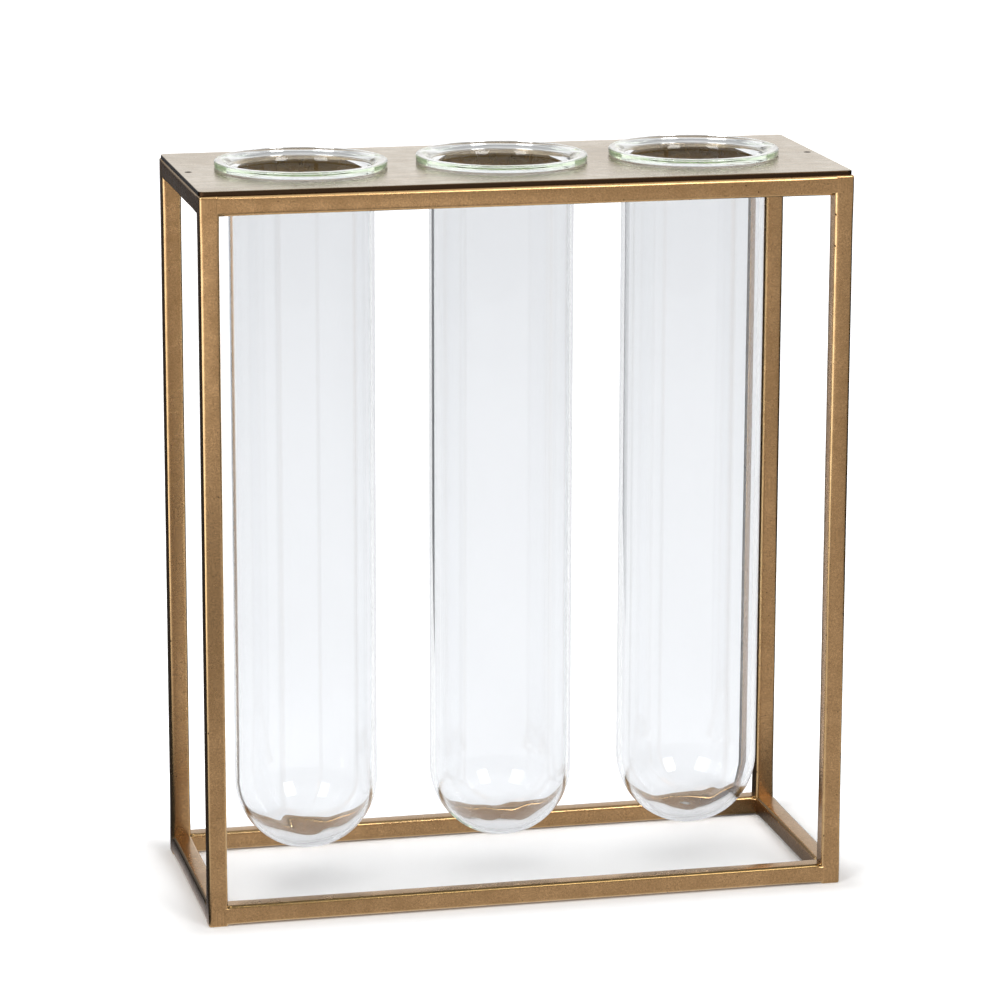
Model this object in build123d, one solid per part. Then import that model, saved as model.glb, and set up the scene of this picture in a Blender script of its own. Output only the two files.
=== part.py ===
"""Test tube vase: three glass test tubes hanging in a welded stand of square brass bar.

Sizes are in millimetres. The origin is on the surface that the stand rests on, under its middle.
+X runs to the right along the row of tubes, +Y to the back and +Z up.
The glass is bought in, so the stand takes its size from the tubes and the gaps left round them.
"""
import os

from build123d import *

# Test tubes
tube_diameter = 40.5
tube_length = 197.6        # bottom to the top of the lip
tube_wall = 1.4            # the same round the sides and in the bottom
lip_width = 3.75           # how far the lip stands out from the tube's wall
lip_height = 2.2
lip_edge_radius = 0.5      # both outer edges of the lip
mouth_land = 0.65          # flat ring on top of the lip, between its outer edge and the mouth
neck_radius = 0.6          # between the tube's wall and the lip's underside

# Row of tubes and the room left round it
lip_gap = 8.0              # between neighbouring lips
end_gap = 9.25             # from an end tube to the rail beside it
side_gap = 10.25           # from the tubes to the front and back rails, on average
row_setback = 2.5          # the row stands this far behind the plate's middle
floor_gap = 9.8            # under the tubes

# Square bar of the stand
bar_size = 5.5
bar_edge_radius = 0.8      # soft long edges
post_end_radius = 0.5      # ends of the posts, eased with a file
bottom_rail_lift = 0.4     # the stand rests on its four posts, not on its rails

# Sheet plate on top of the stand
plate_thickness = 1.2
plate_setback = bar_size / 4        # from the outer faces of the front and back rails
plate_end_setback = 0.15   # from the outer faces of the side rails
plate_corner_radius = 1.5
plate_edge_radius = 0.3    # along the upper rim
hole_clearance = 0.8       # radial, round each tube

# Pins that hold the plate down on the two side rails
pin_diameter = 0.35 * bar_size      # slim enough to leave metal round it
pin_clearance = 0.05       # radial
pin_seat_depth = 0.55 * bar_size    # below the rail's upper face
pin_recess = 0.3           # the pin's head lies this far below the plate's surface

# Places that follow from the sizes above
tube_radius = tube_diameter / 2
bore_radius = tube_radius - tube_wall
lip_radius = tube_radius + lip_width
lip_flat = lip_radius - lip_edge_radius
mouth_radius = lip_flat - mouth_land - bore_radius  # the bore opens into the lip on this curve
tube_pitch = 2 * lip_radius + lip_gap
stand_width = 2 * (tube_pitch + tube_radius + end_gap + bar_size)
stand_depth = 2 * (tube_radius + side_gap + bar_size)
plate_top = floor_gap + tube_length - lip_height
plate_underside = plate_top - plate_thickness
post_x = (stand_width - bar_size) / 2
post_y = (stand_depth - bar_size) / 2
bottom_rail_z = bottom_rail_lift + bar_size / 2
top_rail_z = plate_underside - bar_size / 2
tube_places = {"left": -tube_pitch, "centre": 0.0, "right": tube_pitch}
pin_places = {"left": -post_x, "right": post_x}
pin_hole_radius = pin_diameter / 2 + pin_clearance
pin_foot = plate_underside - pin_seat_depth


def square_bar(length, along):
    """A bar with soft long edges, centred on the origin along one axis."""
    across = Plane(origin=along * (-length / 2), z_dir=along)
    return extrude(across * RectangleRounded(bar_size, bar_size, bar_edge_radius), length)


def pin_hole(side, foot):
    """The hole for one plate pin, from its foot up through the plate."""
    depth = plate_top - foot
    return Pos(pin_places[side], 0, foot + depth / 2) * Cylinder(pin_hole_radius, depth)


def posts():
    """Four corner posts with eased ends, from the floor to the plate."""
    bar = square_bar(plate_underside, Vector(0, 0, 1))
    ends = bar.faces().sort_by(Axis.Z)
    bar = fillet(ends[0].edges() + ends[-1].edges(), post_end_radius)
    post = Pos(0, 0, plate_underside / 2) * bar
    made = {}
    for depth_name, y in (("front", -post_y), ("back", post_y)):
        for side, x in (("left", -post_x), ("right", post_x)):
            made[f"{depth_name}_{side}_post"] = Pos(x, y, 0) * post
    return made


def rails():
    """Eight rails between the posts, butted against their inner faces and flush outside."""
    long_rail = square_bar(stand_width - 2 * bar_size, Vector(1, 0, 0))
    short_rail = square_bar(stand_depth - 2 * bar_size, Vector(0, 1, 0))
    made = {}
    for level, z in (("bottom", bottom_rail_z), ("top", top_rail_z)):
        made[f"front_{level}_rail"] = Pos(0, -post_y, z) * long_rail
        made[f"back_{level}_rail"] = Pos(0, post_y, z) * long_rail
        for side, x in pin_places.items():
            made[f"{side}_{level}_rail"] = Pos(x, 0, z) * short_rail
    for side in pin_places:
        made[f"{side}_top_rail"] -= pin_hole(side, pin_foot)
    return made


def top_plate():
    """The sheet that closes the stand, with a hole for each tube and each pin."""
    width = stand_width - 2 * plate_end_setback
    depth = stand_depth - 2 * plate_setback
    sheet = extrude(RectangleRounded(width, depth, plate_corner_radius), plate_thickness)
    sheet = fillet(sheet.edges().group_by(Axis.Z)[-1], plate_edge_radius)
    plate = Pos(0, 0, plate_underside) * sheet
    for x in tube_places.values():
        middle = Pos(x, row_setback, plate_underside + plate_thickness / 2)
        plate -= middle * Cylinder(tube_radius + hole_clearance, plate_thickness)
    for side in pin_places:
        plate -= pin_hole(side, plate_underside)
    return plate


def plate_pin():
    """A pin standing on the floor of its hole, with its head just below the plate's surface."""
    length = pin_seat_depth + plate_thickness - pin_recess
    return Pos(0, 0, pin_foot + length / 2) * Cylinder(pin_diameter / 2, length)


def test_tube():
    """A tube of even thin glass with a round bottom, hung from the underside of its lip.

    The profile is drawn to the right of the axis, with the lip's underside at height zero.
    """
    bottom = lip_height - tube_length
    round_centre = bottom + tube_radius
    with BuildPart() as tube:
        with BuildSketch(Plane.XZ):
            with BuildLine():
                CenterArc((0, round_centre), tube_radius, -90, 90)
                Line((tube_radius, round_centre), (tube_radius, -neck_radius))
                CenterArc((tube_radius + neck_radius, -neck_radius), neck_radius, 90, 90)
                Line((tube_radius + neck_radius, 0), (lip_flat, 0))
                CenterArc((lip_flat, lip_edge_radius), lip_edge_radius, -90, 90)
                Line((lip_radius, lip_edge_radius), (lip_radius, lip_height - lip_edge_radius))
                CenterArc((lip_flat, lip_height - lip_edge_radius), lip_edge_radius, 0, 90)
                Line((lip_flat, lip_height), (bore_radius + mouth_radius, lip_height))
                CenterArc((bore_radius + mouth_radius, lip_height - mouth_radius), mouth_radius, 90, 90)
                Line((bore_radius, lip_height - mouth_radius), (bore_radius, round_centre))
                CenterArc((0, round_centre), bore_radius, -90, 90)
                Line((0, bottom + tube_wall), (0, bottom))
            make_face()
        revolve(axis=Axis.Z)
    return tube.part


nodes = posts() | rails() | {"top_plate": top_plate()}
pin = plate_pin()
for side, x in pin_places.items():
    nodes[f"{side}_plate_pin"] = Pos(x, 0, 0) * pin
tube = test_tube()
for place, x in tube_places.items():
    nodes[f"{place}_test_tube"] = Pos(x, row_setback, plate_top) * tube

os.makedirs("parts", exist_ok=True)
for name, piece in nodes.items():
    export_step(piece, f"parts/{name}.step")
    print(f"{name:20s} {piece.volume:10.1f} mm3")
print(f"stand {stand_width:.1f} x {stand_depth:.1f} mm, {plate_top + lip_height:.1f} mm to the lips")
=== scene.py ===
# %% [markdown]
# # A test tube vase
# Three glass test tubes hang by their lips from a brass plate on a stand of square bar.
# The CAD model gives every piece its place and size. This lesson adds what the eye looks for:
# brass that has aged and been rubbed bright on its edges, and thin clear glass that is never quite even.

# %% Open the CAD frame
import math

import bpy
from mathutils import Matrix, Vector, noise


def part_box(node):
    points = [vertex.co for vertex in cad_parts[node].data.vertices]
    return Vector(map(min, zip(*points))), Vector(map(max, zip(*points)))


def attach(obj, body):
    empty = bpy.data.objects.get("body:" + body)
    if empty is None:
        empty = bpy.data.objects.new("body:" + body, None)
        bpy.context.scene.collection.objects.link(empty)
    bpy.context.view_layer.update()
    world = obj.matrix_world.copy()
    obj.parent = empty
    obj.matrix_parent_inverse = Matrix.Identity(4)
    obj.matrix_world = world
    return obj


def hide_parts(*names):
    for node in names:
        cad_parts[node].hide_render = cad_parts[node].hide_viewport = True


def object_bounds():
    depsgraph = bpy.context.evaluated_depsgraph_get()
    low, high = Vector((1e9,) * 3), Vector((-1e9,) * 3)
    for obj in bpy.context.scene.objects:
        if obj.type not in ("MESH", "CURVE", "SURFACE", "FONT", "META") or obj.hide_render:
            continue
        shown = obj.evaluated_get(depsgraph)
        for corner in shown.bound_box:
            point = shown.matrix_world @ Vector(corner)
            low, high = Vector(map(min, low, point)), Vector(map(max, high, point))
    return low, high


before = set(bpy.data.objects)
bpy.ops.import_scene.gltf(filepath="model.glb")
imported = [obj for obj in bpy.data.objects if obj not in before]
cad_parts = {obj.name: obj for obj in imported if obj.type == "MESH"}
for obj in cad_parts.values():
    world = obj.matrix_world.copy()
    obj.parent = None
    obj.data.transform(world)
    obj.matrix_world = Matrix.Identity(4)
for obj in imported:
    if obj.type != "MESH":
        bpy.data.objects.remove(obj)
cad_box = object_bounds()
MM = 0.001
print("CAD nodes:", len(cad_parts), "box:", [[round(v, 4) for v in corner] for corner in cad_box])

# %% [markdown]
# ## The camera
# A product picture is taken from far away through a long lens, so that upright bars stay nearly parallel.
# You could drag the camera until it looks right. Here its place was solved from the frame's edges instead,
# and the values are written down: a 152 mm lens a little over a metre away, to the left and above.

# %% Camera
scene = bpy.context.scene
scene.view_settings.view_transform = "Standard"
LENS = 152.27
CAMERA_PLACE = Vector((-263.6, -1141.3, 385.3)) * MM
CAMERA_YAW, CAMERA_PITCH, CAMERA_ROLL = 0.22714, 0.23251, 0.0027

camera_data = bpy.data.cameras.new("photo_camera")
camera_data.lens = LENS
camera_data.sensor_width = 36.0
camera_data.clip_end = 50.0
camera = bpy.data.objects.new("photo_camera", camera_data)
scene.collection.objects.link(camera)
turn = Matrix.Rotation(-CAMERA_YAW, 4, "Z") @ Matrix.Rotation(math.pi / 2 - CAMERA_PITCH, 4, "X")
camera.matrix_world = Matrix.Translation(CAMERA_PLACE) @ turn @ Matrix.Rotation(CAMERA_ROLL, 4, "Z")
scene.camera = camera
print("camera", [round(v, 3) for v in camera.location], "lens", LENS)

# %% [markdown]
# ## Helpers for materials
# Colours are picked on a screen, so they are written as sRGB hex values. Cycles works with linear light,
# and one function turns one into the other. A second function adds a node, gives it its settings and
# fills its inputs, either with a plain value or with a link from another node. Two short ones start a
# material and turn a size in millimetres into the scale of a texture.

# %% Colour and node helpers
def linear(hex_colour):
    """An sRGB hex colour as linear RGBA."""
    values = [int(hex_colour[i:i + 2], 16) / 255 for i in (1, 3, 5)]
    return [v / 12.92 if v <= 0.04045 else ((v + 0.055) / 1.055) ** 2.4 for v in values] + [1.0]


def add(tree, kind, inputs=None, **settings):
    """Add a shader node with its settings, and fill or link its inputs by name or by number."""
    made = tree.nodes.new("ShaderNode" + kind)
    for name, value in settings.items():
        setattr(made, name, value)
    for key, value in (inputs or {}).items():
        if isinstance(value, bpy.types.NodeSocket):
            tree.links.new(value, made.inputs[key])
        else:
            made.inputs[key].default_value = value
    return made


def new_material(name):
    """An empty node material and its tree."""
    material = bpy.data.materials.new(name)
    material.use_nodes = True
    material.node_tree.nodes.clear()
    return material, material.node_tree


def per(size_mm):
    """Texture scale that gives features of this size, since coordinates are in metres."""
    return 1.0 / (size_mm * MM)


print("brass test colour", [round(v, 3) for v in linear("#B58E5A")])

# %% [markdown]
# ## The white table and the white room
# The picture has a pure white ground with soft shadows. A plain white floor would render grey, so it gives
# off a little light of its own wherever it is seen straight or through glass. The rest of its white is
# diffuse and takes the shadows, and close to the stand nearly all of it is.

# %% Floor
FLOOR_HALF = 4.0
NEAR_GLOW, SIDE_GLOW, FAR_GLOW = 0.06, 0.62, 0.64
NEAR_REACH, SIDE_REACH, FAR_REACH = 0.003, 0.025, 2.0  # metres from the stand at which these are reached
THROUGH_GLASS = 0.42  # share of the glow that glass shows

floor_mesh = bpy.data.meshes.new("floor")
corners = [(-FLOOR_HALF, -FLOOR_HALF, 0), (FLOOR_HALF, -FLOOR_HALF, 0),
           (FLOOR_HALF, FLOOR_HALF, 0), (-FLOOR_HALF, FLOOR_HALF, 0)]
floor_mesh.from_pydata(corners, [], [(0, 1, 2, 3)])
floor = bpy.data.objects.new("floor", floor_mesh)
scene.collection.objects.link(floor)

paper, tree = new_material("white_paper")
path = add(tree, "LightPath")
spot = add(tree, "TexCoord").outputs["Object"]
apart = add(tree, "VectorMath", {0: add(tree, "VectorMath", {0: spot}, operation="ABSOLUTE").outputs[0],
                                 1: (cad_box[1][0], cad_box[1][1], 0.0)}, operation="SUBTRACT")
outside = add(tree, "VectorMath", {0: apart.outputs[0], 1: (0, 0, 0)}, operation="MAXIMUM")
away = add(tree, "VectorMath", {0: outside.outputs[0]}, operation="LENGTH").outputs["Value"]
through = add(tree, "Math", {0: path.outputs["Is Transmission Ray"], 1: THROUGH_GLASS},
              operation="MULTIPLY")
seen = add(tree, "Math", {0: path.outputs["Is Camera Ray"], 1: through.outputs[0]}, operation="MAXIMUM")
beside_it = add(tree, "MapRange", {"Value": away, "From Min": NEAR_REACH, "From Max": SIDE_REACH,
                                   "To Min": NEAR_GLOW, "To Max": SIDE_GLOW})
farther = add(tree, "MapRange", {"Value": away, "From Min": SIDE_REACH, "From Max": FAR_REACH,
                                 "To Max": FAR_GLOW - SIDE_GLOW})
level = add(tree, "Math", {0: beside_it.outputs[0], 1: farther.outputs[0]}, operation="ADD")
glow = add(tree, "Math", {0: seen.outputs[0], 1: level.outputs[0]}, operation="MULTIPLY")
light = add(tree, "Emission", {"Color": (1, 1, 1, 1), "Strength": glow.outputs[0]})
matt = add(tree, "BsdfDiffuse", {"Color": linear("#E8E8E8")})
lit = add(tree, "AddShader", {0: light.outputs[0], 1: matt.outputs[0]})
print("floor", 2 * FLOOR_HALF, "m wide")

# %% [markdown]
# Polished metal shows what stands around it, so in mirror rays the floor has a pattern: white far behind
# the object, grey in front and lighter farther out, bright at the front left where a lamp stands, and dark
# at the back left, as beside a black card. You could paint it. Here one table names soft ramps across and
# along the floor, and a second one says how they are added and multiplied. Only brushed metal, which
# scatters, sees the pattern. A reflection in smooth glass is a singular ray, and for those the floor is
# plain grey.

# %% Floor in the mirror of the brass
FLOOR_IN_GLASS = 0.7
FLOOR_RAMPS = {  # which way it runs, where it starts and ends in metres, and its level there
    "far_back": ("along", 0.8, 1.6, 0.0, 0.9),
    "not_far_left": ("across", -0.3, -0.1, 0.0, 1.0),
    "behind_front_rail": ("along", -0.04, -0.03, 0.0, 1.0),
    "under_right_rail": ("across", 0.06, 0.084, 0.0, -0.6),
    "right_of_left_rail": ("across", -0.095, -0.09, 0.0, 1.0),
    "before_front_rail": ("along", -0.04, -0.07, 0.0, 1.0),
    "middle_to_front": ("along", 0.06, 0.02, 0.05, 0.85),
    "strip_far_edge": ("along", -0.22, -0.34, 0.0, 1.0),
    "strip_near_edge": ("along", -0.68, -0.5, 0.0, 1.0),
    "strip_on_the_left": ("across", 0.14, 0.02, 0.0, -0.52),
    "well_in_front": ("along", -0.5, -0.75, 0.0, 1.0),
    "lighter_on_the_left": ("across", 0.14, 0.3, 0.6, -0.1),
    "left_of_right_lamp": ("across", 0.42, 0.27, 0.0, 1.0),
    "front_of_right_lamp": ("along", -0.4, -0.6, 0.0, 1.0),
    "left_lamp": ("across", -0.24, -0.4, 0.0, 1.6),
    "front_of_left_lamp": ("along", -0.02, -0.15, 0.0, 1.0),
}
FLOOR_LEAST = 0.04
FLOOR_SUMS = (
    ("behind", "MULTIPLY", "far_back", "not_far_left"),
    ("inside_right", "MULTIPLY", "behind_front_rail", "under_right_rail"),
    ("not_beside_left", "MAXIMUM", "right_of_left_rail", "before_front_rail"),
    ("lit_front", "MULTIPLY", "middle_to_front", "not_beside_left"),
    ("near_the_stand", "ADD", "lit_front", "inside_right"),
    ("near", "MAXIMUM", "near_the_stand", FLOOR_LEAST),
    ("strip", "MULTIPLY", "strip_far_edge", "strip_near_edge"),
    ("dip", "MULTIPLY", "strip", "strip_on_the_left"),
    ("lift", "MULTIPLY", "well_in_front", "lighter_on_the_left"),
    ("farther_out", "ADD", "dip", "lift"),
    ("front", "ADD", "near", "farther_out"),
    ("open", "MAXIMUM", "left_of_right_lamp", "front_of_right_lamp"),
    ("lamp_side", "MULTIPLY", "left_lamp", "front_of_left_lamp"),
    ("ahead", "MULTIPLY_ADD", "front", "open", "lamp_side"),
    ("in_metal", "ADD", "behind", "ahead"),
)


def soft_pattern(tree, values, ramps, sums):
    """Values by name, with the soft ramps of some of them and then what is worked out from those."""
    for name, (source, start, end, low, high) in ramps.items():
        soft = add(tree, "MapRange", {"Value": values[source], "From Min": start, "From Max": end,
                                      "To Min": low, "To Max": high}, interpolation_type="SMOOTHSTEP")
        values[name] = soft.outputs[0]
    for name, operation, *parts in sums:
        worked = {i: values.get(part, part) for i, part in enumerate(parts)}
        values[name] = add(tree, "Math", worked, operation=operation).outputs[0]
    return values


place = add(tree, "SeparateXYZ", {0: spot})
floor_pattern = soft_pattern(tree, {"across": place.outputs["X"], "along": place.outputs["Y"]},
                             FLOOR_RAMPS, FLOOR_SUMS)
shown = add(tree, "Mix", {0: path.outputs["Is Singular Ray"], 2: floor_pattern["in_metal"],
                          3: FLOOR_IN_GLASS})
pattern = add(tree, "Emission", {"Color": linear("#F6F8FF"), "Strength": shown.outputs[0]})
mirror = add(tree, "Math", {0: path.outputs["Is Glossy Ray"], 1: path.outputs["Is Transmission Ray"]},
             operation="SUBTRACT", use_clamp=True)
both = add(tree, "MixShader", {0: mirror.outputs[0], 1: lit.outputs[0], 2: pattern.outputs[0]})
add(tree, "OutputMaterial", {"Surface": both.outputs[0]})
floor_mesh.materials.append(paper)
print("floor pattern of", len(FLOOR_RAMPS), "ramps")

# %% [markdown]
# The room follows the same idea, with ramps over the direction in which a ray leaves. It lights the object
# from above at a plain level and is white where the camera meets it. In mirror rays it has grey walls at
# the front and the sides, a white sweep of paper at the back, and a ceiling that is dark above the paper
# and lit above the lamps. A ray that glass has bent sees the same room, only lighter.

# %% Room
LEAST_IN_GLASS, LEAST_THROUGH_GLASS = 0.3, 0.4
ROOM_RAMPS = {
    "overhead": ("up", 0.7, 0.95, 0.1, 2.3),
    "front_wall": ("along", -0.4, -0.8, 0.25, 0.5),
    "side_walls": ("aside", 0.6, 0.85, 0.0, 0.45),
    "paper_at_the_back": ("along", 0.2, 0.6, 0.0, 1.0),
    "paper_to_the_right": ("across", -0.22, 0.05, 0.0, 1.0),
    "high": ("up", 0.45, 0.65, 0.0, 1.0),
    "above_the_lamps": ("along", 0.1, -0.15, 0.04, 0.9),
    "straight_up": ("up", 0.7, 0.85, 0.0, 0.6),
    "below_the_ceiling": ("up", 0.75, 0.45, 0.0, 1.0),
    "paper_through_glass": ("along", 0.1, 0.45, 0.0, 1.0),
    "not_so_high": ("up", 0.8, 0.5, 0.0, 1.0),
}
ROOM_SUMS = (
    ("walls", "ADD", "front_wall", "side_walls"),
    ("sweep", "MULTIPLY_ADD", "paper_at_the_back", "paper_to_the_right", "walls"),
    ("lit_ceiling", "MULTIPLY", "high", "above_the_lamps"),
    ("ceiling", "MAXIMUM", "lit_ceiling", "straight_up"),
    ("dim", "MULTIPLY_ADD", "sweep", "below_the_ceiling", "ceiling"),
    ("in_glass", "MULTIPLY", "singular", LEAST_IN_GLASS),
    ("reflected", "MAXIMUM", "dim", "in_glass"),
    ("paper_side", "MULTIPLY", "paper_through_glass", "not_so_high"),
    ("around", "MAXIMUM", "dim", LEAST_THROUGH_GLASS),
)

room = bpy.data.worlds.new("white_room")
room.use_nodes = True
scene.world = room
tree = room.node_tree
tree.nodes.clear()
path = add(tree, "LightPath")
heading = add(tree, "SeparateXYZ", {0: add(tree, "TexCoord").outputs["Generated"]})
ways = dict(zip(("across", "along", "up"), heading.outputs))
ways["aside"] = add(tree, "Math", {0: ways["across"]}, operation="ABSOLUTE").outputs[0]
ways["singular"] = path.outputs["Is Singular Ray"]
surround = soft_pattern(tree, ways, ROOM_RAMPS, ROOM_SUMS)
mirrored = add(tree, "Mix", {0: path.outputs["Is Glossy Ray"], 2: surround["overhead"],
                             3: surround["reflected"]})
through = add(tree, "Mix", {0: surround["paper_side"], 2: surround["around"], 3: 1.0})
bent = add(tree, "Mix", {0: path.outputs["Is Transmission Ray"], 2: mirrored.outputs[0],
                         3: through.outputs[0]})
level = add(tree, "Mix", {0: path.outputs["Is Camera Ray"], 2: bent.outputs[0], 3: 1.0})
sky = add(tree, "Background", {"Color": (1, 1, 1, 1), "Strength": level.outputs[0]})
add(tree, "OutputWorld", {"Surface": sky.outputs[0]})
print("room", room.name)

# %% [markdown]
# ## Lamps and a flag
# Two softboxes stand in front, left and right of the camera. They draw the small bright windows in the
# mouths of the tubes and the bright lines along the edges of the bars. Clear glass on white needs something
# dark to show its outline: a black card, which studios call a flag, stands behind on the left, just out
# of the picture. Only rays that grazed the edge of a wall meet it. They have crossed two surfaces of glass,
# where a ray through the whole tube has crossed four and would show the card itself.

# %% Lamps
LAMP_PLACES = {"softbox_left": (-830, -720, 800), "softbox_right": (430, -1010, 800)}
LAMP_AIM = Vector((0, 0, 110)) * MM
LAMP_WIDTH, LAMP_HEIGHT, LAMP_POWER = 420, 560, 5.5


def softbox(name, place):
    """A rectangular area lamp at a place in millimetres, turned to the middle of the object."""
    lamp = bpy.data.lights.new(name, "AREA")
    lamp.shape = "RECTANGLE"
    lamp.size, lamp.size_y = LAMP_WIDTH * MM, LAMP_HEIGHT * MM
    lamp.energy = LAMP_POWER
    made = bpy.data.objects.new(name, lamp)
    scene.collection.objects.link(made)
    made.location = Vector(place) * MM
    made.rotation_euler = (LAMP_AIM - made.location).to_track_quat("-Z", "Y").to_euler()
    made.visible_camera = False
    return made


lamps = [softbox(name, place) for name, place in LAMP_PLACES.items()]
print("lamps:", [lamp.name for lamp in lamps])

# %% Flag
FLAG_X, FLAG_NEAR, FLAG_FAR, FLAG_HEIGHT = -120, 200, 420, 300
EDGE_DEPTH = 2.5  # between two surfaces of glass crossed and four
flag_corners = [(FLAG_NEAR, 0), (FLAG_FAR, 0), (FLAG_FAR, FLAG_HEIGHT), (FLAG_NEAR, FLAG_HEIGHT)]
flag_mesh = bpy.data.meshes.new("flag")
flag_mesh.from_pydata([Vector((FLAG_X, y, z)) * MM for y, z in flag_corners], [], [(0, 1, 2, 3)])
flag = bpy.data.objects.new("flag", flag_mesh)
scene.collection.objects.link(flag)
for kind in ("camera", "diffuse", "glossy", "volume_scatter", "shadow"):
    setattr(flag, "visible_" + kind, False)
black_cloth, tree = new_material("black_flag_cloth")
crossed = add(tree, "LightPath").outputs["Transmission Depth"]
edge_ray = add(tree, "Math", {0: crossed, 1: EDGE_DEPTH}, operation="LESS_THAN")
clear = add(tree, "BsdfTransparent", {"Color": (1, 1, 1, 1)})
cloth = add(tree, "BsdfDiffuse", {"Color": linear("#303030")})
card = add(tree, "MixShader", {0: edge_ray.outputs[0], 1: clear.outputs[0], 2: cloth.outputs[0]})
add(tree, "OutputMaterial", {"Surface": card.outputs[0]})
flag_mesh.materials.append(black_cloth)
print("flag", FLAG_FAR - FLAG_NEAR, "mm wide")

# %% [markdown]
# ## Brass bar
# The stand is drawn brass bar that was welded, ground, brushed, darkened with an antiquing wash and waxed.
# The wash stays in the hollows and in patches, and hands and cloths rub it off along the edges.
# The colour is a mix of three brasses by noise of two sizes. The rubbed edges are found from the normal:
# on a flat face of a bar one of its three parts is close to 1, and on a rounded edge none is.

# %% Brass finish
CLOUD_SIZE, MOTTLE_SIZE = 45, 5  # patches of wash and the mottling inside them, in mm
PIT_SIZE, PIT_COLOUR = 0.9, "#4A3420"
GRIT_SIZE = 0.6           # scratches of the grinding grit, drawn coarser than real ones so that they show
PAINTED_SHADE_AND_WASH = "#6B5736"     # painted shade on the top rails under the plate and on the bottom rails, and the wash kept in the weld notches
RIM_REACH = 4 * MM        # a sheet's cut edge lies this close to the outline of the stand
EDGE_POLISH = 0.08        # how much smoother a rubbed edge is
BRUSH_DEPTH = 0.05 * MM


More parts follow.
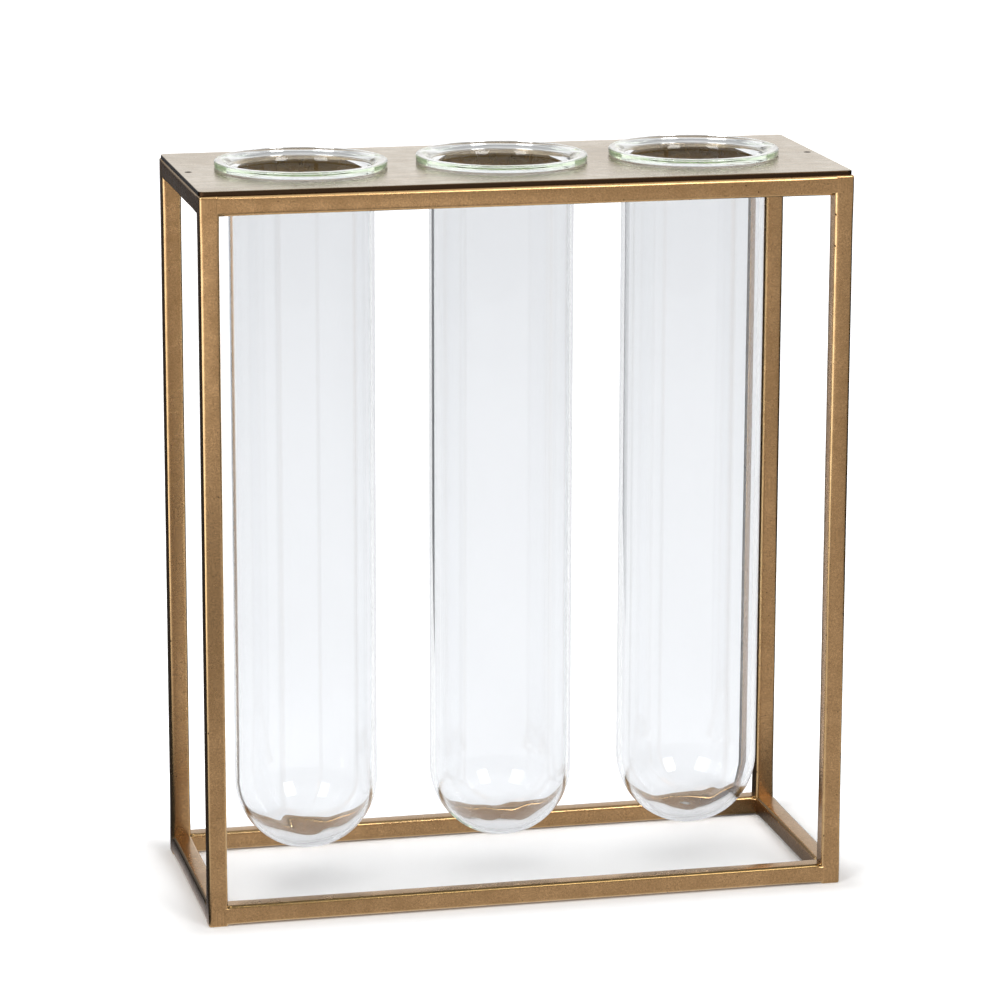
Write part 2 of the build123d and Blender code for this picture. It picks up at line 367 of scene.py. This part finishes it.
def antique_brass(name, coords, brush, body, washed, rubbed, roughness, painted_edge_shade=None):
    """Aged brass: patches of dark wash, brushing along the first coordinate and bright edges.

    coords makes the node that holds the coordinates, and brush is the brushing's length and width in mm.
    The last argument, if given, is painted shade on a sheet's cut outer edge, which lies in shadow and
    mirrors dark.
    """
    material, tree = new_material(name)
    spot = coords(tree)
    stretch = [per(brush[0]), per(brush[1]), per(brush[1])]
    drawn_out = add(tree, "VectorMath", {0: spot, 1: stretch}, operation="MULTIPLY")
    streak = add(tree, "TexNoise", {"Vector": drawn_out.outputs[0], "Scale": 1.0, "Detail": 3.0})
    where = add(tree, "TexCoord")
    place = where.outputs["Object"]
    cloud = add(tree, "TexNoise", {"Vector": place, "Scale": per(CLOUD_SIZE), "Detail": 2.0})
    mottle = add(tree, "TexNoise", {"Vector": place, "Scale": per(MOTTLE_SIZE), "Detail": 5.0,
                                    "Roughness": 0.62})
    pits = add(tree, "TexNoise", {"Vector": place, "Scale": per(PIT_SIZE), "Detail": 1.0})
    grit = add(tree, "TexNoise", {"Vector": place, "Scale": per(GRIT_SIZE), "Detail": 2.0,
                                  "Roughness": 0.7})

    # Noise lies round 0.5, so the ranges below set how much of each tone shows.
    patch = add(tree, "Math", {0: cloud.outputs[0], 1: mottle.outputs[0]}, operation="ADD")
    wash = add(tree, "MapRange", {"Value": patch.outputs[0], "From Min": 0.6, "From Max": 1.4})
    toned = add(tree, "Mix", {0: wash.outputs[0], 6: linear(washed), 7: linear(body)}, data_type="RGBA")
    lines = add(tree, "MapRange", {"Value": streak.outputs[0], "From Min": 0.3, "From Max": 0.7,
                                   "To Min": 0.76, "To Max": 1.18})
    specks = add(tree, "MapRange", {"Value": grit.outputs[0], "From Min": 0.3, "From Max": 0.7,
                                    "To Min": 0.82, "To Max": 1.16})
    worked = add(tree, "Math", {0: lines.outputs[0], 1: specks.outputs[0]}, operation="MULTIPLY")
    brushed = add(tree, "Mix", {0: 1.0, 6: toned.outputs[2], 7: worked.outputs[0]}, data_type="RGBA",
                  blend_type="MULTIPLY")

    facing = add(tree, "VectorMath", {0: where.outputs["Normal"]}, operation="ABSOLUTE")
    part = add(tree, "SeparateXYZ", {0: facing.outputs[0]})
    larger = add(tree, "Math", {0: part.outputs[0], 1: part.outputs[1]}, operation="MAXIMUM")
    largest = add(tree, "Math", {0: larger.outputs[0], 1: part.outputs[2]}, operation="MAXIMUM")
    edge = add(tree, "MapRange", {"Value": largest.outputs[0], "From Min": 0.99, "From Max": 0.8})
    worn = add(tree, "MapRange", {"Value": mottle.outputs[0], "From Min": 0.38, "From Max": 0.6,
                                  "To Min": 0.75})
    bright = add(tree, "Math", {0: edge.outputs[0], 1: worn.outputs[0]}, operation="MULTIPLY")
    polished = add(tree, "Mix", {0: bright.outputs[0], 6: brushed.outputs[2], 7: linear(rubbed)},
                   data_type="RGBA")
    pit = add(tree, "MapRange", {"Value": pits.outputs[0], "From Min": 0.72, "From Max": 0.78})
    pitted = add(tree, "Mix", {0: pit.outputs[0], 6: polished.outputs[2], 7: linear(PIT_COLOUR)},
                 data_type="RGBA")
    # painted shade under the plate and on the bottom rails, and the wash kept in the notches, as each point
    # holds it
    shade_and_wash = add(tree, "Attribute", attribute_name="painted_shade_and_wash").outputs["Fac"]
    colour = add(tree, "Mix", {0: shade_and_wash, 6: pitted.outputs[2], 7: linear(PAINTED_SHADE_AND_WASH)}, data_type="RGBA")

    # painted shade on the upright outer edge of a sheet
    if painted_edge_shade:
        upright = add(tree, "MapRange", {"Value": part.outputs[2], "From Min": 0.9, "From Max": 0.6})
        spread = add(tree, "VectorMath", {0: place}, operation="ABSOLUTE")
        reach = add(tree, "SeparateXYZ", {0: spread.outputs[0]})
        at_end = add(tree, "Math", {0: reach.outputs[0], 1: cad_box[1][0] - RIM_REACH},
                     operation="GREATER_THAN")
        at_side = add(tree, "Math", {0: reach.outputs[1], 1: cad_box[1][1] - RIM_REACH},
                      operation="GREATER_THAN")
        outer = add(tree, "Math", {0: at_end.outputs[0], 1: at_side.outputs[0]}, operation="MAXIMUM")
        edge_shade_mask = add(tree, "Math", {0: upright.outputs[0], 1: outer.outputs[0]}, operation="MULTIPLY")
        colour = add(tree, "Mix", {0: edge_shade_mask.outputs[0], 6: colour.outputs[2], 7: linear(painted_edge_shade)},
                     data_type="RGBA")

    dull = add(tree, "MapRange", {"Value": patch.outputs[0], "From Min": 0.8, "From Max": 1.25,
                                  "To Min": roughness + 0.05, "To Max": roughness - 0.03})
    gloss = add(tree, "Math", {0: bright.outputs[0], 1: -EDGE_POLISH, 2: dull.outputs[0]},
                operation="MULTIPLY_ADD")
    relief = add(tree, "Math", {0: streak.outputs[0], 1: mottle.outputs[0]}, operation="ADD")
    bump = add(tree, "Bump", {"Height": relief.outputs[0], "Strength": 0.08, "Distance": BRUSH_DEPTH})
    metal = add(tree, "BsdfPrincipled", {"Base Color": colour.outputs[2], "Metallic": 1.0,
                                         "Roughness": gloss.outputs[0], "Normal": bump.outputs[0]})
    add(tree, "OutputMaterial", {"Surface": metal.outputs[0]})
    return material


BAR_BRUSH = (12, 0.3)  # length and width of brush marks in mm, wider than real ones, which wouldn't show
bar_brass = antique_brass(
    "antiqued_brass_bar", lambda tree: add(tree, "Attribute", attribute_name="grain").outputs["Vector"],
    BAR_BRUSH, "#BF9769", "#A27D53", "#DDB883", 0.25)
print("material", bar_brass.name)

# %% [markdown]
# ## Bars
# Each bar is a rounded square drawn along a line, so it is a stack of rings joined by faces.
# The rails run a little way into the posts, so that their faces join as the ground welds do. At the inner
# corners the weld was left unground and unfilled, which shows as a small dark notch. A slow ripple of a
# few hundredths of a millimetre keeps the reflections from looking machined, and the faces are crowned a
# little, as brushing leaves them. Each point also keeps where it lies along and around its bar.

# %% Rings of a bar
BAR_EDGE = 0.8
ARC_STEPS = 5
FLAT_SHARES = (0.08, 0.22, 0.36, 0.5, 0.64, 0.78, 0.92)
CROWN, CROWN_REACH = 0.14, 9.0  # height of a face's middle, and how far from a weld it is reached


def crowned(spot, half, free):
    """A point of a rounded square moved in, so that each face is a little higher along its middle.

    free is the way to the nearest weld, where the faces were ground flat.
    """
    crown = CROWN / half * min(1.0, free / CROWN_REACH)
    return Vector((spot.x * (1 - crown * (spot.y / half) ** 2),
                   spot.y * (1 - crown * (spot.x / half) ** 2)))


def bar_ring(half):
    """Points of a rounded square with their outward directions and their way round, in millimetres."""
    centre = half - BAR_EDGE
    ring, way = [], 0.0
    for quarter, (sx, sy) in enumerate(((1, 1), (-1, 1), (-1, -1), (1, -1))):
        corner = Vector((centre * sx, centre * sy))
        for step in range(ARC_STEPS + 1):
            angle = (quarter + step / ARC_STEPS) * math.pi / 2
            out = Vector((math.cos(angle), math.sin(angle)))
            ring.append((corner + BAR_EDGE * out, out, way + BAR_EDGE * step / ARC_STEPS * math.pi / 2))
        way += BAR_EDGE * math.pi / 2
        last, onward = ring[-1][0], Vector((-out.y, out.x))
        for share in FLAT_SHARES:
            ring.append((last + onward * (2 * centre * share), out, way + 2 * centre * share))
        way += 2 * centre
    return ring


print("ring of", len(bar_ring(half=2.75)), "points")

# %% Ends of a bar
POST_END, POST_END_STEPS = 0.5, 4   # eased ends of the posts
WELD_REACH, WELD_SINK = 1.3, 0.06   # how far a rail runs into a post, and how far its end draws in there
WELD_MIDDLE = 0.5
NOTCH, NOTCH_LENGTH = 0.7, 0.8
NOTCH_RINGS = (-0.3, 0.0, 0.2, 0.4, 0.7, 1.0, 1.4, 2.0)
END_MARGIN, RING_STEP = 0.6, 3.0    # from the rings of an end to the next ring, and between the others


def stations(start, end, eased):
    """Where the rings of a bar lie along it, each with how far it draws in towards the bar's middle."""
    turns = [i / POST_END_STEPS * math.pi / 2 for i in range(POST_END_STEPS + 1)]
    eased_end = [(POST_END * (1 - math.cos(a)), POST_END * (1 - math.sin(a))) for a in turns]
    sunk_end = [(0.0, WELD_SINK), (WELD_MIDDLE, WELD_SINK / 2)]
    sunk_end += [(WELD_REACH + t, 0.0) for t in NOTCH_RINGS]
    ends = eased_end if eased else sunk_end
    margin = ends[-1][0] + END_MARGIN
    steps = max(2, round((end - start - 2 * margin) / RING_STEP))
    places = [(start + margin + (end - start - 2 * margin) * i / steps, 0.0) for i in range(steps + 1)]
    return [(start + t, d) for t, d in ends] + places + [(end - t, d) for t, d in reversed(ends)]


def notch(toward, beside, from_end):
    """How deep the unfilled corner of a weld is, on the inner edges of a rail and only near its end."""
    return NOTCH * 2 * max(0.0, toward) * abs(beside) * math.exp(-(from_end / NOTCH_LENGTH) ** 2)


print("a rail of 171 mm has", len(stations(0.0, 171.0, eased=False)), "rings")

# %% [markdown]
# The rails get painted shade, a dark brown put into their colour: on the inner faces of the top rails
# under the plate, on top of the bottom rails, and as a painted dark reflection along their outer upper
# edges. In the notches the same brown is the dark wash kept in the hollows. Each point of a rail holds how
# much of this brown it gets, and the brass finish reads that.

# %% Bars from rings
TOP_FACE_SHADE, OUTER_EDGE_SHADE = 0.45, 0.9  # painted shade on top of the bottom rails, and a painted dark reflection along their outer upper edges
EDGE_FACING = 0.2                # least outward and upward part of a normal on such an edge
NOTCH_WASH = 2.0
RIPPLE = 0.05
RIPPLE_LENGTH = 16.0


def brass_bar(node):
    """The bar of a CAD node, drawn along its longest side."""
    low, high = (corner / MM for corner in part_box(node))
    size = high - low
    axis = max(range(3), key=lambda i: size[i])
    first, second = (axis + 1) % 3, (axis + 2) % 3
    post = axis == 2
    reach = 0.0 if post else WELD_REACH
    middle = (low + high) / 2
    inward = 1.0 if middle.z * MM < (cad_box[0][2] + cad_box[1][2]) / 2 else -1.0
    half = size[first] / 2
    ring = bar_ring(half)
    points, grain, shade_and_wash = [], [], []
    for t, inset in stations(low[axis] - reach, high[axis] + reach, post):
        from_end = min(t - low[axis], high[axis] - t)
        free = max(0.0, from_end - 2 * half if post else from_end)
        for corner, out, way in ring:
            spot = crowned(corner, half, free)
            point = Vector((0, 0, 0))
            point[axis] = t
            point[first] = middle[first] + spot.x - out.x * inset
            point[second] = middle[second] + spot.y - out.y * inset
            sink = RIPPLE * (0.5 + 0.5 * noise.noise(point / RIPPLE_LENGTH))
            shade_and_wash_share = 0.0
            if not post:
                upward, sideways = (out.y, out.x) if axis == 0 else (out.x, out.y)
                hollow = notch(upward * inward, sideways, from_end)
                sink += hollow
                outward = sideways * math.copysign(1.0, middle[1 - axis])
                # painted shade on the inner faces of the top rails and on top of the bottom rails
                shade_and_wash_share = max(0.0, -outward) if inward < 0 else TOP_FACE_SHADE * max(0.0, upward)
                # a painted dark reflection along the outer upper edges of the bottom rails
                if inward > 0 and min(outward, upward) > EDGE_FACING:
                    shade_and_wash_share = OUTER_EDGE_SHADE
                # the dark wash kept in the notches is the brass's own
                shade_and_wash_share = max(shade_and_wash_share, min(1.0, NOTCH_WASH * hollow / NOTCH))
            point[first] -= out.x * sink
            point[second] -= out.y * sink
            points.append(point * MM)
            grain.append((t * MM, way * MM, free * MM))
            shade_and_wash.append(shade_and_wash_share)
    count = len(ring)
    rows = len(points) // count
    faces = [(r * count + i, r * count + (i + 1) % count, (r + 1) * count + (i + 1) % count,
              (r + 1) * count + i) for r in range(rows - 1) for i in range(count)]
    faces += [tuple(reversed(range(count))), tuple(range((rows - 1) * count, rows * count))]
    mesh = bpy.data.meshes.new(node + "_brass")
    mesh.from_pydata(points, [], faces)
    mesh.shade_smooth()
    layer = mesh.attributes.new("grain", "FLOAT_VECTOR", "POINT")
    layer.data.foreach_set("vector", [value for row in grain for value in row])
    mesh.attributes.new("painted_shade_and_wash", "FLOAT", "POINT").data.foreach_set("value", shade_and_wash)
    mesh.materials.append(bar_brass)
    made = bpy.data.objects.new(node + "_brass", mesh)
    scene.collection.objects.link(made)
    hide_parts(node)
    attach(made, "stand")
    return made


bars = [brass_bar(node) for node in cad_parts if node.endswith(("_post", "_rail"))]
print("bars:", len(bars), "with", sum(len(bar.data.vertices) for bar in bars), "points")

# %% [markdown]
# ## Plate and pins
# The top is thin brass sheet, sheared to size and brushed along its length before the same dark wash.
# Its CAD shape is already right, so it only gets a finish. The plate looks paler and greyer than the bars:
# seen at a low angle a metal keeps less of its own colour, and its brass is written paler as well, which is
# a painted reflection of the white paper behind it.

# %% Plate and pin finishes
SHEET_BRUSH, PIN_BRUSH = (40, 0.5), (2, 0.5)  # in mm, coarser than real, as on the bar
# the last colour is painted shade on the sheet's cut edge
sheet_brass = antique_brass(
    "antiqued_brass_sheet", lambda tree: add(tree, "TexCoord").outputs["Object"],
    SHEET_BRUSH, "#AD9E86", "#A08F76", "#C2AE8C", 0.24, "#3A2A1C")
# the pins are written dark brown: painted shade for the small recess each sits in
pin_brass_painted_shade = antique_brass(
    "brass_pin_painted_shade", lambda tree: add(tree, "TexCoord").outputs["Object"],
    PIN_BRUSH, "#7C5C38", "#4E3922", "#8A683F", 0.42)
finishes = {"top_plate": sheet_brass, "left_plate_pin": pin_brass_painted_shade, "right_plate_pin": pin_brass_painted_shade}
for node, finish in finishes.items():
    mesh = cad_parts[node].data
    mesh.materials.clear()
    mesh.materials.append(finish)
    print(node, finish.name)

# %% [markdown]
# ## Glass test tubes
# A test tube is drawn from clear borosilicate glass: a thin even wall, a rolled lip that hangs in the
# plate's hole, and a round bottom about as thin as the wall. Glass bends what is behind it, so the mesh
# needs a smooth inside and outside. A profile turned round an axis, as on a lathe, gives both.

# %% Profile of a tube
TUBE_RADIUS, BORE_RADIUS, LIP_RADIUS = 20.25, 18.85, 24.0
LIP_HEIGHT, MOUTH_RADIUS, NECK_RADIUS = 2.2, 4.0, 0.6
FOOT = 1.3        # thickness in the middle of the bottom
LIP_EDGE = 0.5
LIP_LIFT = 0.06   # keeps the lip's underside just off the plate
WALL_RING = 60.0  # a ring this far above the round bottom shortens the faces of the wall
OUTER_STEPS, INNER_STEPS = 48, 64
NECK_STEPS, EDGE_STEPS, MOUTH_STEPS = 6, 8, 24


def arc(centre, radii, start, end, steps):
    """Points on part of an ellipse, in degrees, without its first point."""
    turns = [math.radians(start + (end - start) * i / steps) for i in range(1, steps + 1)]
    return [(centre[0] + radii[0] * math.cos(a), centre[1] + radii[1] * math.sin(a)) for a in turns]


def tube_profile(bottom, top):
    """Radius and height along a tube's outside from the bottom up, and down its inside again."""
    seat = top - LIP_HEIGHT + LIP_LIFT
    lip_flat = LIP_RADIUS - LIP_EDGE
    round_middle = (0.0, bottom + TUBE_RADIUS)
    line = [(0.0, bottom)] + arc(round_middle, (TUBE_RADIUS, TUBE_RADIUS), -90, 0, OUTER_STEPS)
    line += [(TUBE_RADIUS, bottom + TUBE_RADIUS + WALL_RING), (TUBE_RADIUS, seat - NECK_RADIUS)]
    neck = (TUBE_RADIUS + NECK_RADIUS, seat - NECK_RADIUS)
    line += arc(neck, (NECK_RADIUS, NECK_RADIUS), 180, 90, NECK_STEPS) + [(lip_flat, seat)]
    line += arc((lip_flat, seat + LIP_EDGE), (LIP_EDGE, LIP_EDGE), -90, 0, EDGE_STEPS)
    line += [(LIP_RADIUS, top - LIP_EDGE)]
    line += arc((lip_flat, top - LIP_EDGE), (LIP_EDGE, LIP_EDGE), 0, 90, EDGE_STEPS)
    mouth = (BORE_RADIUS + MOUTH_RADIUS, top - MOUTH_RADIUS)
    line += [(mouth[0], top)] + arc(mouth, (MOUTH_RADIUS, MOUTH_RADIUS), 90, 180, MOUTH_STEPS)
    line += [(BORE_RADIUS, bottom + TUBE_RADIUS + WALL_RING), (BORE_RADIUS, bottom + TUBE_RADIUS)]
    return line + arc(round_middle, (BORE_RADIUS, TUBE_RADIUS - FOOT), 0, -90, INNER_STEPS)


print("profile of", len(tube_profile(bottom=9.8, top=207.4)), "points")

# %% Glass
GREEN, GREEN_DENSITY = "#CBEDA0", 4.0  # the pale green of a long way through glass, seen in the lips
BOUNCES = 128  # light runs round inside a lip many times, and a low limit would turn the lips black
glass, tree = new_material("clear_borosilicate_glass")
body = add(tree, "BsdfPrincipled", {"Base Color": linear("#F5F6F8"), "Roughness": 0.0, "IOR": 1.5,
                                    "Transmission Weight": 1.0})
tint = add(tree, "VolumeAbsorption", {"Color": linear(GREEN), "Density": GREEN_DENSITY})
add(tree, "OutputMaterial", {"Surface": body.outputs[0], "Volume": tint.outputs[0]})
scene.cycles.max_bounces = scene.cycles.transmission_bounces = scene.cycles.glossy_bounces = BOUNCES
print("material", glass.name)

# %% [markdown]
# The bottom of a tube is closed by hand in a flame, and the glass that gathers there sets a little uneven
# inside. Each tube gets a few low lumps on the inside of its bottom, and they bend the bars behind into
# the wavy brown band that the eye reads as real glass.

# %% Uneven inside of the bottoms
LUMPS = {  # place across and along in mm, height and spread in mm
    "left": ((-6.5, 10.5, 0.16, 2.0), (-3.5, 8.5, 0.24, 1.9), (-0.5, 6.5, 0.3, 1.8), (2.5, 5.0, 0.26, 1.8),
             (8.0, 6.0, -0.2, 2.4)),
    "centre": ((-2.5, 6.5, 0.3, 1.5), (-9.0, 4.0, 0.2, 2.6), (5.5, 8.5, 0.24, 2.6), (8.5, 3.0, 0.3, 1.8),
               (1.5, 9.0, -0.16, 2.5)),
    "right": ((-1.5, 6.0, 0.32, 1.9), (2.0, 4.5, 0.28, 1.7), (8.5, 9.0, 0.28, 2.4), (10.0, 5.5, 0.24, 1.9),
              (-8.0, 7.0, -0.16, 2.5)),
}
WAVE, WAVE_LENGTH, WAVE_SEED = 0.12, 9.0, 7.0
LUMPS_START, LUMPS_FADE = 0.35, 0.3  # share of the way down the round bottom


def lump(side, spot, drop):
    """How far the inside of a bottom stands up at a spot, where drop runs from 0 at the wall to 1."""
    height = sum(top * math.exp(-((spot.x - x) ** 2 + (spot.y - y) ** 2) / (2 * spread ** 2))
                 for x, y, top, spread in LUMPS[side])
    wave = WAVE * noise.noise(spot / WAVE_LENGTH + Vector((WAVE_SEED * len(side), 0, 0)))
    return (height + wave) * min(1.0, max(0.0, drop - LUMPS_START) / LUMPS_FADE)


print("lump at the left tube's middle", round(lump("left", Vector((0, 0, 0)), 1.0), 2), "mm")

# %% [markdown]
# A lip is rolled by hand in a flame, so it is never quite even either. Each point of a lip moves a little
# towards the middle of the lip's section, by a slow noise, and the bright lines along the lips waver.

# %% Rolled lips
LIP_WAVE, LIP_WAVE_LENGTH = 0.12, 5.0
LIP_CORE = Vector((22.2, -1.1))  # middle of the lip's section: its radius, and its height from the top
LIP_END, LIP_FADE = 3.6, 1.6     # inside the mouth, how far below the top the waves end, and over how much
LIP_SEED = 3.0


def rolled(side, spot, radius, below):
    """How a point of the lip moves in radius and height, where below is its height from the lip's top."""
    in_lip = radius < TUBE_RADIUS or below > -LIP_HEIGHT
    near = min(1.0, max(0.0, (below + LIP_END) / LIP_FADE)) if in_lip else 0.0
    wave = 0.5 + 0.5 * noise.noise(spot / LIP_WAVE_LENGTH + Vector((0, 0, LIP_SEED * len(side))))
    return (LIP_CORE - Vector((radius, below))).normalized() * (LIP_WAVE * near * wave)


print("a lip moves in by up to", LIP_WAVE, "mm")

# %% Tubes on the lathe
TURNS = 192
LEAN = {"left": -0.5, "centre": 0.2, "right": -0.4}  # mm off the middle of its hole, which is 0.8 mm larger


def glass_tube(side):
    """A tube turned from its profile, in the place of a CAD node."""
    node = side + "_test_tube"
    low, high = (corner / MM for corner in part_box(node))
    axis = Vector(((low.x + high.x) / 2 + LEAN[side], (low.y + high.y) / 2, low.z + TUBE_RADIUS))
    profile = tube_profile(low.z, high.z)
    inner_start = len(profile) - INNER_STEPS
    points = [Vector((0, 0, profile[0][1] - axis.z))]
    for row, (radius, height) in enumerate(profile[1:-1], 1):
        for i in range(TURNS):
            a = 2 * math.pi * i / TURNS
            spot = Vector((radius * math.cos(a), radius * math.sin(a), height - axis.z))
            shift = rolled(side, spot, radius, height - high.z)
            spot += Vector((shift.x * math.cos(a), shift.x * math.sin(a), shift.y))
            if row >= inner_start:
                spot -= spot.normalized() * lump(side, spot, -spot.z / (TUBE_RADIUS - FOOT))
            points.append(spot)
    tip = Vector((0, 0, profile[-1][1] - axis.z))
    points.append(tip - tip.normalized() * lump(side, tip, 1.0))
    points = [(axis + spot) * MM for spot in points]
    rows = len(profile) - 2
    last = len(points) - 1
    faces = [(0, 1 + (i + 1) % TURNS, 1 + i) for i in range(TURNS)]
    for row in range(rows - 1):
        a, b = 1 + row * TURNS, 1 + (row + 1) * TURNS
        faces += [(a + i, a + (i + 1) % TURNS, b + (i + 1) % TURNS, b + i) for i in range(TURNS)]
    a = 1 + (rows - 1) * TURNS
    faces += [(a + i, a + (i + 1) % TURNS, last) for i in range(TURNS)]
    mesh = bpy.data.meshes.new(node + "_glass")
    mesh.from_pydata(points, [], faces)
    mesh.shade_smooth()
    mesh.materials.append(glass)
    made = bpy.data.objects.new(node + "_glass", mesh)
    scene.collection.objects.link(made)
    made.visible_shadow = False  # light isn't traced through glass to the floor, so its shadow would be solid
    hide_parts(node)
    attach(made, side + "_tube")
    return made


tubes = [glass_tube(side) for side in LUMPS]
print("tubes:", [tube.name for tube in tubes])
